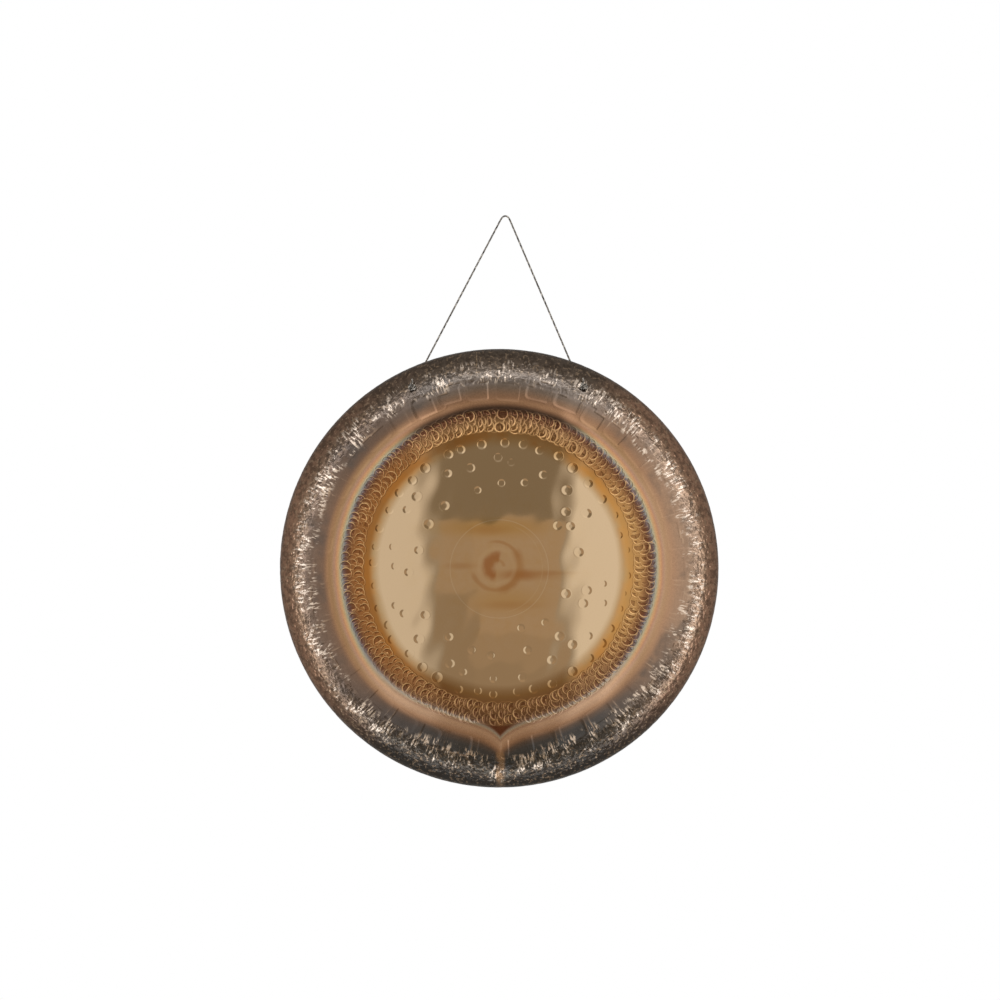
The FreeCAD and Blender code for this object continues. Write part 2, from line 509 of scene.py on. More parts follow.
GONG_RADIUS = 305.0 * MM
GONG_DEPTH = 47.0 * MM
WALL = 1.6 * MM
DOME_RADIUS = 4.0
SHOULDER_START = 252.0 * MM
SHOULDER_RADIUS = 85.0 * MM
CORNER_RADIUS = 22.0 * MM
RIM_LEAN = math.radians(4.0)
RINGS_ASIDE = (-0.6 * MM, 2.5 * MM)     # from the gong's centre to that of the scales and the oxide


class Outline:
    """The shell's section as dome, shoulder, corner and rim, each station with its own normal."""

    def __init__(self):
        start = math.asin(SHOULDER_START / DOME_RADIUS)
        dome = np.array([0.0, DOME_RADIUS])
        shoulder = self.on(dome, DOME_RADIUS - SHOULDER_RADIUS, start)
        reach = GONG_RADIUS - CORNER_RADIUS - shoulder[0]
        turn = math.asin(reach / (SHOULDER_RADIUS - CORNER_RADIUS))
        corner = self.on(shoulder, SHOULDER_RADIUS - CORNER_RADIUS, turn)
        rim = math.pi / 2.0 + RIM_LEAN
        self.parts = [
            (dome, DOME_RADIUS, 0.0, start),
            (shoulder, SHOULDER_RADIUS, start, turn),
            (corner, CORNER_RADIUS, turn, rim),
        ]
        self.rim_slope = rim
        self.lengths = [radius * (high - low) for _, radius, low, high in self.parts]
        rim_start = self.on(corner, CORNER_RADIUS, rim)
        self.lengths.append((GONG_DEPTH - rim_start[1]) / math.sin(rim))
        self.total = sum(self.lengths)

    @staticmethod
    def on(centre, radius, slope):
        return np.array([centre[0] + radius * math.sin(slope), centre[1] - radius * math.cos(slope)])

    def at(self, length, inset):
        """Distance from the axis, depth, and outward normal at an arc length from the centre."""
        for (centre, radius, low, high), run in zip(self.parts, self.lengths):
            if length <= run:
                slope = low + length / radius
                point = self.on(centre, radius - inset, slope)
                return point[0], point[1], math.sin(slope), -math.cos(slope)
            length -= run
        centre = self.parts[-1][0]
        start = self.on(centre, CORNER_RADIUS - inset, self.rim_slope)
        share = length / self.lengths[-1]
        depth = start[1] + (GONG_DEPTH - start[1]) * share
        run = (depth - start[1]) / math.sin(self.rim_slope)
        return (start[0] + run * math.cos(self.rim_slope), depth,
                math.sin(self.rim_slope), -math.cos(self.rim_slope))


outline = Outline()


class Relief:
    """Hammer marks on a polar grid, in metres along the outward normal."""

    def __init__(self, lengths, sectors):
        self.lengths = np.asarray(lengths)
        self.radii = np.array([outline.at(length, 0.0)[0] for length in lengths])
        self.sectors = sectors
        self.height = np.zeros((len(lengths), sectors))

    def window(self, length, angle, half_length, half_width):
        rows = np.nonzero(np.abs(self.lengths - length) < half_length)[0]
        if len(rows) == 0:
            return None
        radius = max(outline.at(length, 0.0)[0], 1.0 * MM)
        step = 2.0 * math.pi / self.sectors
        reach = int(math.ceil(half_width / radius / step)) + 1
        if 2 * reach + 1 >= self.sectors:
            columns = np.arange(self.sectors)
        else:
            middle = int(round(angle / step))
            columns = np.arange(middle - reach, middle + reach + 1)
        u = (columns * step - angle)
        u = (u + math.pi) % (2.0 * math.pi) - math.pi
        u = u[None, :] * self.radii[rows][:, None]
        v = (self.lengths[rows] - length)[:, None] + np.zeros_like(u)
        return np.ix_(rows, columns % self.sectors), u, v

    def mark(self, shape, length, angle, half_width, half_length, depth, turn):
        """One hammer mark. A punch has a flat floor, steep sides and a raised lip, and covers what was
        there; a dish is a shallow hollow, and where dishes overlap the deeper one shows."""
        reach = 1.3 * max(half_width, half_length)
        found = self.window(length, angle, reach, reach)
        if found is None:
            return
        where, u, v = found
        across = np.abs(u * math.cos(turn) + v * math.sin(turn)) / half_width
        along = np.abs(v * math.cos(turn) - u * math.sin(turn)) / half_length
        squareness = PANEL_SQUARENESS if shape == "panel" else 2.0
        out = (across ** squareness + along ** squareness) ** (1.0 / squareness)
        before = self.height[where]
        if shape == "dish":
            self.height[where] = np.minimum(before, -depth * np.clip(1.0 - out ** 2, 0.0, None))
            return
        floor, lip_height, kept = MARK_SHAPES[shape]
        wall = np.clip((out - floor) / (1.0 - floor), 0.0, 1.0)
        bowl = 0.2 * np.clip(1.0 - out ** 2, 0.0, None)
        inside = -depth * (1.0 - wall * wall * (3.0 - 2.0 * wall) + bowl)
        lip = lip_height * depth * np.exp(-((out - 1.02) * half_width / LIP_WIDTH) ** 2)
        inside = inside * (1.0 - kept) + before * kept
        self.height[where] = np.where(out < 1.0, inside + lip, np.maximum(before, lip))

    def crest(self):
        """How far each point stands out from what is round it: 0.5 is level, 1 a ridge, 0 a hollow."""
        turns = np.fft.rfft(self.height, axis=1)
        spread = (CREST_BLUR / np.maximum(self.radii, CREST_BLUR))[:, None]
        turns *= np.exp(-0.5 * (np.arange(turns.shape[1])[None, :] * spread) ** 2)
        level = np.fft.irfft(turns, self.sectors, axis=1)
        apart = (self.lengths[:, None] - self.lengths[None, :]) / CREST_BLUR
        weights = np.exp(-0.5 * apart ** 2)
        level = (weights / weights.sum(axis=1, keepdims=True)) @ level
        return np.clip(0.5 + (self.height - level) / CREST_RANGE, 0.0, 1.0)


# Each shape's floor as a share of its radius, its lip as a share of its depth, and how much of the
# marks under it shows through.
MARK_SHAPES = {
    "punch": (0.56, 0.18, 0.0),
    "scale": (0.80, 0.42, 0.30),
    "drop": (0.20, 0.08, 0.45),
    "panel": (0.80, 0.30, 0.0),
}
LIP_WIDTH = 0.50 * MM
PANEL_SQUARENESS = 5.0              # 2 is an oval, and more is nearer to a rectangle
CREST_BLUR = 2.6 * MM
CREST_RANGE = 0.36 * MM
BACK_CREST = -2.0                   # added to the crest all over the back, which the bronze looks for
MARGIN = 8.0 * MM                   # beyond a grid's own rows, so that its blur has neighbours


# Rows of marks in millimetres: distance from the centre, spacing, half width and depth, then as
# shares how much they wander, and how many are left out or how long and how far askew they are.
PUNCH_ROWS = [
    (173.0, 27.0, 6.6, 0.13, 0.22, 0.0),
    (148.0, 37.0, 6.4, 0.12, 0.35, 0.08),
    (119.0, 36.0, 6.2, 0.11, 0.4, 0.2),
    (92.0, 45.0, 5.8, 0.09, 0.5, 0.5),
]
DROP_ROWS = [
    (270.0, 19.0, 3.4, 0.32, 0.6, 2.6, 0.3),
    (279.0, 11.0, 2.6, 0.30, 0.8, 2.0, 0.7),
    (286.0, 9.0, 2.4, 0.28, 0.8, 1.5, 1.2),
]
SCALE_RADII = (193.8, 202.2, 210.6)
SCALE_JITTER = 0.022                # in radians, how far out of turn a scale may be struck
DISH_START = 263.0 * MM
DISH_CHANGE = 291.0 * MM            # beyond it the dishes are smaller
DISHES_INSIDE = (10.5, 6.0, 6.0)    # spacing, half width and distance between rows, in millimetres
DISHES_OUTSIDE = (8.0, 5.2, 3.9)


def make_marks():
    """Every hammer mark as shape, arc length, angle, half width, half length, depth and turn."""
    random = np.random.default_rng(24)
    marks = []

    def row(shape, radius, spacing, size, depth, wander, skip=0.0, stretch=1.0, swivel=0.0,
            aside=(0.0, 0.0)):
        count = max(3, int(round(2.0 * math.pi * radius / spacing)))
        start = random.uniform(0.0, 2.0 * math.pi)
        made = []
        for k in range(count):
            angle = start + (k + wander * random.uniform(-1.0, 1.0)) * 2.0 * math.pi / count
            length = radius + wander * spacing * 0.5 * random.uniform(-1.0, 1.0)
            half = size * random.uniform(0.88, 1.1)
            deep = depth * random.uniform(0.7, 1.25)
            lean = random.uniform(-swivel, swivel)
            if random.uniform() >= skip:
                x = length * math.sin(angle) + aside[0]
                z = length * math.cos(angle) + aside[1]
                made.append((shape, math.hypot(x, z), math.atan2(x, z) % (2.0 * math.pi),
                             half, half * stretch, deep, lean))
        return made

    # Separate dimples on the polished face.
    for radius, spacing, size, depth, wander, skip in PUNCH_ROWS:
        marks += row("punch", radius * MM, spacing * MM, size * MM, depth * MM, wander, skip)
    # Overlapping round marks like scales, struck roughly one after the other anticlockwise.
    scales = []
    for radius in SCALE_RADII:
        scales += row("scale", radius * MM, 7.8 * MM, 7.2 * MM, 0.26 * MM, 0.35, aside=RINGS_ASIDE)
    turns = [scale[2] + SCALE_JITTER * random.uniform(-1.0, 1.0) for scale in scales]
    marks += [scales[k] for k in np.argsort(turns)[::-1]]
    # Broad panels where the shoulder starts, then marks that get smaller and denser towards the rim.
    marks += row("panel", 248.0 * MM, 41.0 * MM, 21.8 * MM, 0.13 * MM, 0.12, stretch=0.64)
    length = DISH_START
    while length < outline.total - 1.0 * MM:
        spacing, size, step = DISHES_INSIDE if length <= DISH_CHANGE else DISHES_OUTSIDE
        marks += row("dish", length, spacing * MM, size * MM, 0.30 * MM, 0.6, stretch=0.7)
        length += step * MM
    for radius, spacing, size, depth, wander, stretch, swivel in DROP_ROWS:
        marks += row("drop", radius * MM, spacing * MM, size * MM, depth * MM, wander,
                     stretch=stretch, swivel=swivel)
    return marks


def wavy(x, z, random, count, shortest, longest, size):
    """A sum of gentle waves in random directions."""
    total = np.zeros_like(x)
    for _ in range(count):
        heading = random.uniform(0.0, 2.0 * math.pi)
        wave = random.uniform(shortest, longest)
        phase = random.uniform(0.0, 2.0 * math.pi)
        amount = size * wave / longest * random.uniform(0.5, 1.0)
        along = x * math.cos(heading) + z * math.sin(heading)
        total += amount * np.sin(2.0 * math.pi * along / wave + phase)
    return total


def steps(start, end, spacing):
    """Evenly spaced values from start up to, but without, end."""
    return np.linspace(start, end, max(1, int(round((end - start) / spacing))), endpoint=False)


def padded_lengths(lengths):
    """The lengths with a few more before and after them, and where their own rows are."""
    count = 6
    before = np.maximum(lengths[0] - MARGIN * np.arange(count, 0, -1) / count, 0.0)
    after = np.minimum(lengths[-1] + MARGIN * np.arange(1, count + 1) / count, outline.total)
    return np.concatenate([before, lengths, after]), slice(count, count + len(lengths))


# The front's rings of points in millimetres: from, up to, and distance apart, and how many points each.
FRONT_GRID = [
    (2.0, 60.0, 2.0, 360),
    (60.0, 160.0, 1.0, 720),
    (160.0, 178.0, 0.85, 1440),
    (178.0, 224.0, 0.52, 2880),
    (224.0, 258.0, 1.1, 1440),
    (258.0, 298.0, 0.65, 2880),
]


REST_DEPTH = 0.1 * MM               # how far the whole surface stays inside the plain shell
EDGE_DEPTH = 0.05 * MM              # the same at the rim's back edge, where the marks fade out
EDGE_FADE = 3.0 * MM
RIM_DEPTH = 0.25 * MM               # at least this far inside on the rim
RIM_START = 290.0 * MM
RIM_FADE = 8.0 * MM

# Gentle unevenness: how many waves, their shortest and longest length, and their size.
WAVES = [(14, 50.0 * MM, 130.0 * MM, 0.022 * MM), (12, 24.0 * MM, 56.0 * MM, 0.018 * MM)]


def surface_height(relief, angles):
    """The marks and waves in metres along the outward normal, kept inside the plain shell."""
    random = np.random.default_rng(7)
    x = relief.radii[:, None] * np.sin(angles)
    z = relief.radii[:, None] * np.cos(angles)
    height = relief.height + sum(wavy(x, z, random, *waves) for waves in WAVES) - REST_DEPTH
    fade = np.clip((outline.total - relief.lengths) / EDGE_FADE, 0.0, 1.0)[:, None]
    height = height * fade - EDGE_DEPTH * (1.0 - fade)
    on_rim = np.clip((relief.lengths - RIM_START) / RIM_FADE, 0.0, 1.0)[:, None]
    return np.minimum(height, -RIM_DEPTH * on_rim + 1.0 * MM * (1.0 - on_rim))


def gong_rings():
    """The rings of points from the middle of the front, round the rim, to the middle of the back."""
    marks = make_marks()
    front = []
    for start, end, spacing, sectors in FRONT_GRID:
        front.append((steps(start * MM, end * MM, spacing * MM), sectors))
    front.append((np.linspace(298.0 * MM, outline.total, 38), 1440))
    back = [
        (np.linspace(outline.total, SHOULDER_START, 46), 720),
        (steps(SHOULDER_START, 60.0 * MM, -2.6 * MM)[1:], 720),
        (steps(60.0 * MM, 2.0 * MM, -2.5 * MM), 360),
    ]
    rings, crests = [], []
    for inset, groups in ((0.0, front), (WALL, back)):
        for lengths, sectors in groups:
            lengths, own = padded_lengths(lengths)
            relief = Relief(lengths, sectors)
            for mark in marks:
                relief.mark(*mark)
            crest = relief.crest() if inset == 0.0 else relief.crest() + BACK_CREST
            angles = np.arange(sectors) * 2.0 * math.pi / sectors
            height = surface_height(relief, angles)
            for i in range(own.start, own.stop):
                radius, depth, out, back_out = outline.at(relief.lengths[i], inset)
                r = radius + height[i] * out
                y = depth + height[i] * back_out
                rings.append(np.stack([r * np.sin(angles), y, r * np.cos(angles)], axis=1))
                crests.append(crest[i])
    return rings, crests


def make_gong(material):
    rings, crests = gong_rings()
    starts = np.concatenate([[0], np.cumsum([len(ring) for ring in rings])])
    front_centre = starts[-1]
    back_centre = front_centre + 1
    points = np.concatenate(rings + [np.array([[0.0, 0.0, 0.0], [0.0, WALL, 0.0]])])
    points[front_centre] = [0.0, rings[0][:, 1].mean(), 0.0]
    points[back_centre] = [0.0, rings[-1][:, 1].mean(), 0.0]
    quads, triangles = [], []
    for k in range(len(rings) - 1):
        a, b = starts[k], starts[k + 1]
        count, next_count = len(rings[k]), len(rings[k + 1])
        if count == next_count:
            j, after = around(count)
            quads.append(np.stack([a + j, b + j, b + after, a + after], axis=1))
            continue
        few, many = (a, b) if next_count > count else (b, a)
        count = min(count, next_count)
        j, after = around(count)
        first, second, third = many + 2 * j, many + 2 * j + 1, many + (2 * j + 2) % (2 * count)
        fans = [
            np.stack([few + j, first, second], axis=1),
            np.stack([few + j, second, few + after], axis=1),
            np.stack([few + after, second, third], axis=1),
        ]
        if next_count < len(rings[k]):
            fans = [fan[:, ::-1] for fan in fans]
        triangles += fans
    j, after = around(len(rings[0]))
    triangles.append(np.stack([np.full(len(j), front_centre), j, after], axis=1))
    j, after = around(len(rings[-1]))
    last = starts[-2]
    triangles.append(np.stack([last + j, np.full(len(j), back_centre), last + after], axis=1))
    turn, origin = np.array(GONG.to_3x3()), np.array(GONG.translation)
    points = points @ turn.T + origin
    return link_mesh("gong_shell", points, np.concatenate(quads), np.concatenate(triangles), [material],
                     crest=np.concatenate(crests + [[0.5, BACK_CREST]]))


# Distance from the centre as a share of the oxide's radius, then the bronze's colour at the sides, at
# the top and at the bottom. Past the scales come the thin bands of a heat-tinted oxide.
PATINA = [
    (0.545, (229, 204, 170), (229, 204, 170), (229, 204, 170)),
    (0.575, (200, 170, 128), (222, 190, 145), (198, 166, 126)),
    (0.600, (186, 140, 80), (216, 176, 124), (182, 144, 96)),
    (0.630, (178, 130, 80), (202, 158, 108), (170, 130, 92)),
    (0.670, (164, 120, 80), (206, 164, 120), (158, 120, 86)),
    (0.693, (124, 86, 62), (142, 102, 76), (140, 106, 80)),
    (0.705, (118, 92, 86), (124, 90, 70), (168, 138, 118)),
    (0.713, (132, 122, 126), (112, 82, 66), (196, 188, 180)),
    (0.719, (156, 158, 158), (104, 78, 64), (212, 196, 174)),
    (0.725, (180, 178, 162), (98, 76, 64), (214, 182, 156)),
    (0.730, (200, 190, 158), (98, 78, 66), (206, 168, 142)),
    (0.735, (214, 182, 140), (118, 94, 78), (222, 186, 160)),
    (0.741, (224, 178, 134), (148, 116, 94), (234, 198, 168)),
    (0.747, (214, 164, 126), (180, 140, 112), (232, 194, 164)),
    (0.753, (200, 158, 134), (204, 162, 130), (228, 192, 162)),
    (0.760, (192, 156, 130), (218, 174, 140), (220, 182, 154)),
    (0.766, (184, 150, 116), (214, 170, 136), (216, 178, 148)),
    (0.775, (178, 142, 106), (200, 158, 128), (204, 164, 134)),
    (0.790, (176, 138, 106), (182, 146, 120), (162, 130, 108)),
    (0.802, (172, 134, 106), (172, 142, 120), (122, 106, 96)),
    (0.825, (160, 130, 108), (154, 138, 126), (98, 96, 96)),
    (0.850, (154, 128, 110), (146, 136, 130), (88, 90, 92)),
    (0.880, (158, 136, 120), (148, 138, 130), (96, 96, 96)),
    (0.915, (166, 142, 124), (142, 129, 118), (108, 104, 98)),
    (0.945, (182, 150, 126), (122, 108, 96), (88, 84, 80)),
    (0.970, (182, 144, 120), (112, 100, 90), (76, 74, 72)),
    (1.000, (178, 142, 120), (118, 106, 96), (76, 74, 72)),
]
OXIDE_RADIUS = 0.985 * GONG_RADIUS
CUSP_DEPTH = 0.074                  # how far the rings dip to a point at the bottom, as such a share
CUSP_WIDTH = 19.0 * MM
GLINTS_ALONG = 0.4                   # below 1 it draws the painted glints out away from the centre
GLINTS_AROUND = 0.40                 # in metres, the radius of the circle on which they are spread
POLISHED_ROUGHNESS = 0.045
OXIDE_ROUGHNESS = 0.095             # how much the oxide adds to it
FINE_ROUGHNESS = 0.06               # how much the fine noise adds at most, on the shoulder

# Noises in the gong frame: scale, detail and roughness.
NOISES = {
    "broad": (9.0, 3.0, 0.5),
    "patches": (16.0, 3.0, 0.6),
    "back_oxide": (20.0, 4.0, 0.6),
    "mottle": (26.0, 3.0, 0.6),
    "clusters": (52.0, 2.0, 0.5),
    "ragged": (60.0, 4.0, 0.65),
    "facets": (130.0, 3.0, 0.6),
    "dents": (150.0, 2.0, 0.5),
    "specks": (230.0, 2.0, 0.6),
    "fine": (420.0, 3.0, 0.6),
}

GOLDEN, BROWN, RUST, PALE = (222, 184, 116), (203, 154, 100), (192, 130, 76), (240, 218, 184)
DARK_OXIDE, COPPER, BACK_BRONZE = (84, 74, 68), (206, 166, 126), (176, 138, 98)

# Stains on the polished face. Ovals: middle x and z and half width and height in millimetres, how
# soft the edge is, strength and colour.
BLOTS = [
    (-10.0, 57.0, 66.0, 10.5, 0.85, 0.75, GOLDEN),
    (-14.0, 54.0, 22.0, 5.5, 0.85, 0.35, BROWN),
    (10.0, -44.0, 44.0, 13.0, 0.9, 0.5, GOLDEN),
    (14.0, -50.0, 34.0, 5.0, 0.9, 0.35, BROWN),
    (36.0, -8.5, 40.0, 6.0, 0.9, 0.55, BROWN),
    (28.0, -8.5, 16.0, 6.0, 0.9, 0.5, RUST),
    (70.0, -6.0, 28.0, 2.8, 0.8, 0.3, BROWN),
    (-52.0, 4.5, 18.0, 4.2, 0.8, 0.4, BROWN),
]
# Parts of rings: middle x and z, radius and half width in millimetres, heading and half turn in
# degrees clockwise from the top, strength and colour.
CRESCENTS = [
    (-5.0, 4.2, 33.5, 2.4, 30.0, 45.0, 0.5, BROWN),
    (-5.0, 4.2, 33.0, 7.0, 112.0, 62.0, 0.55, BROWN),
    (-5.0, 4.2, 33.0, 3.4, 190.0, 66.0, 0.5, BROWN),
    (-2.5, 2.9, 13.0, 8.0, -78.0, 95.0, 0.75, RUST),
    (-2.5, 2.9, 9.0, 2.4, 0.0, 90.0, 0.4, BROWN),
    (-3.0, 3.5, 24.5, 3.4, 40.0, 180.0, 0.3, PALE),
    (-2.0, 1.0, 61.5, 0.7, 95.0, 75.0, 0.35, PALE),
]

# Layers of colour: strength, colour, and the masks that it shows through. A mask is a quantity of
# Bronze and two values of it, from none to full, or four, from none to full and to none again.
LEFTWARD = ("sideness", -0.15, -0.75)
RIGHTWARD = ("sideness", 0.70, 0.98)
IN_SCALES = ("ring_radius", 181.0 * MM, 186.0 * MM, 214.0 * MM, 219.0 * MM)
ON_SHOULDER = ("rho", 0.765, 0.80)
CLOUDS = [(0.25, GOLDEN, ("ragged", 0.35, 0.75), ("radius", 150.0 * MM, 60.0 * MM))]
LAYERS = [
    # A fine line that the lathe left on the polished face, and uneven amber against the scales.
    (0.35, (250, 236, 214), ("radius", 66.6 * MM, 67.4 * MM, 67.8 * MM, 68.6 * MM)),
    (0.55, (214, 146, 68), ("fringe", 0.550, 0.590, 0.600, 0.630), ("mottle", 0.38, 0.62),
     ("upness", -0.95, -0.6)),
    # Brown and grey on the left, and gold and copper on the right.
    (0.5, (150, 92, 44), LEFTWARD, ("rho", 0.575, 0.60, 0.66, 0.70)),
    (0.5, (112, 98, 92), LEFTWARD, ("rho", 0.785, 0.81, 0.88, 0.93)),
    (0.45, DARK_OXIDE, LEFTWARD, ("upness", 0.25, 0.7), ("rho", 0.77, 0.80)),
    (0.45, (222, 178, 116), RIGHTWARD, ("rho", 0.57, 0.59, 0.65, 0.68)),
    (0.25, (240, 202, 172), RIGHTWARD, ("rho", 0.75, 0.765, 0.93, 0.96)),
    # The scales' brown hollows, their worn golden ridges, which are partly a painted highlight on the
    # lips, and a dark point below them at the bottom.
    (0.45, (112, 66, 42), ("crest", 0.50, 0.30), IN_SCALES),
    (0.8, (244, 202, 146), ("crest", 0.60, 0.84), IN_SCALES),
    (0.8, (124, 74, 52), ("cusp", 0.10, 0.24), ("rho", 0.708, 0.696),
     ("radius", 215.0 * MM, 218.0 * MM)),
    # The shoulder's dark patches and hollows, worn ribs that are partly a painted highlight, dark
    # patches of painted shade for facets, specks, and painted glints drawn out away from the centre.
    (0.55, (92, 90, 90), ("patches", 0.50, 0.66), ("rho", 0.79, 0.825, 0.90, 0.95)),
    (0.3, DARK_OXIDE, ("crest", 0.45, 0.10), ON_SHOULDER),
    # Light lines on the shoulder's ridges: worn bronze, and partly a painted highlight on the ribs.
    (0.4, (236, 206, 178), ("crest", 0.54, 0.62), ("mottle", 0.46, 0.66),
     ("rho", 0.79, 0.83, 0.88, 0.90)),
    # Dark noise patches on the shoulder: painted shade of hammered facets.
    (0.5, (70, 60, 52), ("facets", 0.42, 0.62), ("rho", 0.84, 0.93)),
    (0.45, (206, 180, 152), ("specks", 0.54, 0.66), ("rho", 0.86, 0.93)),
    # Near-white spots in clusters, drawn out away from the centre: painted highlights on the shoulder.
    (0.9, (255, 238, 222), ("spots", 0.51, 0.59), ("clusters", 0.44, 0.58),
     ("rho", 0.83, 0.86, 0.93, 0.96)),
    # An upright scratch at the top left.
    (0.55, (226, 196, 160), ("off_scratch", 1.1 * MM, 0.4 * MM),
     ("z", 266.0 * MM, 270.0 * MM, 298.0 * MM, 303.0 * MM), ("fine", 0.42, 0.56)),
]
SCRATCH_X = -29.5 * MM
COPPER_RUN = [("off_run", 8.0 * MM, 4.0 * MM), ("upness", -0.9, -0.95),
              ("radius", 250.0 * MM, 256.0 * MM), ("ragged", 0.34, 0.50)]
BACK_LAYERS = [
    (0.5, (132, 104, 80), ("back_oxide", 0.35, 0.68)),
    # Darker from 222 mm out: painted shade that gives the back's dish its depth.
    (1.0, (88, 74, 64), ("radius", 222.0 * MM, 264.0 * MM)),
    (0.6, (214, 178, 136), ("crest", -1.54, -1.80)),
]


class Bronze(Shader):
    """The gong's material, and in `at` the quantities of a point that its masks go by."""

    def __init__(self):
        super().__init__("patinated_bronze")
        place = self.in_gong_frame()
        x, _, z = self.add("ShaderNodeSeparateXYZ", Vector=place).outputs
        radius = self.distance(x, z)
        away = self.math("MAXIMUM", radius, 1.0 * MM)
        self.at = at = {
            "x": x, "z": z, "radius": radius,
            "upness": self.math("DIVIDE", z, away), "sideness": self.math("DIVIDE", x, away),
            "ring_radius": self.distance(self.minus(x, RINGS_ASIDE[0]), self.minus(z, RINGS_ASIDE[1])),
            "crest": self.add("ShaderNodeAttribute", attribute_name="crest").outputs["Fac"],
        }
        for name, kind in NOISES.items():
            at[name] = self.noise(place, *kind)
        drawn_out = self.xyz(self.times(at["sideness"], GLINTS_AROUND), self.times(radius, GLINTS_ALONG),
                             self.times(at["upness"], GLINTS_AROUND))
        at["spots"] = self.noise(drawn_out, *NOISES["specks"])
        beside = self.math("DIVIDE", self.math("ABSOLUTE", x), -CUSP_WIDTH)
        at["cusp"] = self.times(self.math("EXPONENT", beside), self.mask("upness", -0.5, -0.9),
                                self.mask("radius", 200.0 * MM, 214.0 * MM))
        at["rho"] = self.oxide_share()
        at["fringe"] = self.minus(at["rho"], self.spread(at["mottle"], 0.06))
        uneven_x = self.plus(x, self.spread(at["ragged"], 2.0 * MM))
        at["off_scratch"] = self.math("ABSOLUTE", self.minus(uneven_x, SCRATCH_X))
        at["off_run"] = self.math("ABSOLUTE", self.plus(x, self.spread(at["ragged"], 9.0 * MM)))

    def in_gong_frame(self):
        """The point's place in the gong frame, which the gong takes along as it swings."""
        return self.add("ShaderNodeMapping", vector_type="TEXTURE", Vector=self.coordinates(),
                        Location=gong_origin, Rotation=(HANG_TILT, -HANG_TURN, 0.0)).outputs[0]

    def mask(self, name, *values):
        """1 where a quantity is past the second value, or from the second to the third of four."""
        return (self.smooth if len(values) == 2 else self.band)(self.at[name], *values)

    def tint(self, colour, strength, screen_colour, *masks):
        return self.mix(self.times(*masks, strength), colour, srgb(*screen_colour))

    def layered(self, colour, layers):
        for strength, screen_colour, *masks in layers:
            colour = self.tint(colour, strength, screen_colour, *[self.mask(*mask) for mask in masks])
        return colour

    def oxide_share(self):
        """How far out a point is in the oxide's rings. They have their own centre, dip to a point at
        the bottom, wander slowly, and lie further out at the lower left than at the upper right."""
        rho = self.math("DIVIDE", self.at["ring_radius"], OXIDE_RADIUS)
        rho = self.minus(rho, self.times(self.at["cusp"], CUSP_DEPTH))
        wander = self.plus(self.spread(self.at["broad"], 0.016), self.spread(self.at["ragged"], 0.005))
        rho = self.plus(rho, wander)
        lower_left = self.times(self.mask("sideness", -0.35, -0.75), self.mask("upness", -0.25, -0.65))
        upper_right = self.times(self.mask("sideness", 0.35, 0.75), self.mask("upness", 0.25, 0.65))
        rho = self.minus(rho, self.times(lower_left, 0.014))
        rho = self.plus(rho, self.times(upper_right, 0.008))
        return self.plus(rho, self.times(self.mask("upness", -0.75, -0.92), 0.004))

    def heat_tint(self):
        """The oxide's colours for the sides, the top and the bottom, mixed by where the point is."""
        ramps = []
        for k in (1, 2, 3):
            ramps.append(self.ramp(self.at["rho"], [(stop[0], srgb(*stop[k])) for stop in PATINA]))
        unevenly_up = self.plus(self.at["upness"], self.spread(self.at["broad"], 0.3))
        colour = self.mix(self.smooth(unevenly_up, 0.70, 0.93), ramps[0], ramps[1])
        return self.mix(self.smooth(unevenly_up, -0.42, -0.90), colour, ramps[2])

    def blot(self, middle_x, middle_z, half_x, half_z, edge):
        """1 in the middle of an uneven oval patch and 0 outside it."""
        across = self.math("DIVIDE", self.minus(self.at["x"], middle_x * MM), half_x * MM)
        along = self.math("DIVIDE", self.minus(self.at["z"], middle_z * MM), half_z * MM)
        out = self.plus(self.distance(across, along), self.spread(self.at["ragged"], 0.9))
        return self.smooth(out, 1.0 + edge, 1.0 - edge)

    def crescent(self, middle_x, middle_z, ring, half_width, heading, half_turn):
        """1 along part of an uneven ring and 0 away from it."""
        across, along = self.minus(self.at["x"], middle_x * MM), self.minus(self.at["z"], middle_z * MM)
        away = self.distance(across, along)
        off_ring = self.plus(self.math("ABSOLUTE", self.minus(away, ring * MM)),
                             self.spread(self.at["ragged"], 1.6 * half_width * MM))
        turn = math.radians(heading)
        towards = self.plus(self.times(across, math.sin(turn)), self.times(along, math.cos(turn)))
        towards = self.math("DIVIDE", towards, self.math("MAXIMUM", away, 1.0 * MM))
        limit = math.cos(math.radians(half_turn))
        return self.times(self.smooth(off_ring, half_width * 1.5 * MM, half_width * 0.2 * MM),
                          self.smooth(towards, limit - 0.12, limit + 0.25))


def bronze_colour(bronze):
    """The heat-tinted front with its stains, layers and painted highlights, then the back with its
    painted shade, then a fine unevenness.
    """
    colour = bronze.layered(bronze.heat_tint(), CLOUDS)
    for *oval, strength, stain in BLOTS:
        colour = bronze.tint(colour, strength, stain, bronze.blot(*oval))
    for *arc, strength, stain in CRESCENTS:
        colour = bronze.tint(colour, strength, stain, bronze.crescent(*arc))
    colour = bronze.layered(colour, LAYERS)
    fading = bronze.plus(0.15, bronze.times(bronze.mask("rho", 0.96, 0.92), 0.45))
    run = bronze.times(*[bronze.mask(*mask) for mask in COPPER_RUN], fading)
    colour = bronze.mix(run, colour, srgb(*COPPER))
    back = bronze.layered(srgb(*BACK_BRONZE), BACK_LAYERS)
    colour = bronze.mix(bronze.mask("crest", -0.2, -0.8), colour, back)
    grain = bronze.ramp(bronze.at["fine"], [(0.3, (0.90, 0.90, 0.90)), (0.7, (1.06, 1.06, 1.06))])
    grainy = bronze.mix(1.0, colour, grain, "MULTIPLY")
    return bronze.mix(bronze.mask("rho", 0.60, 0.64), colour, grainy)


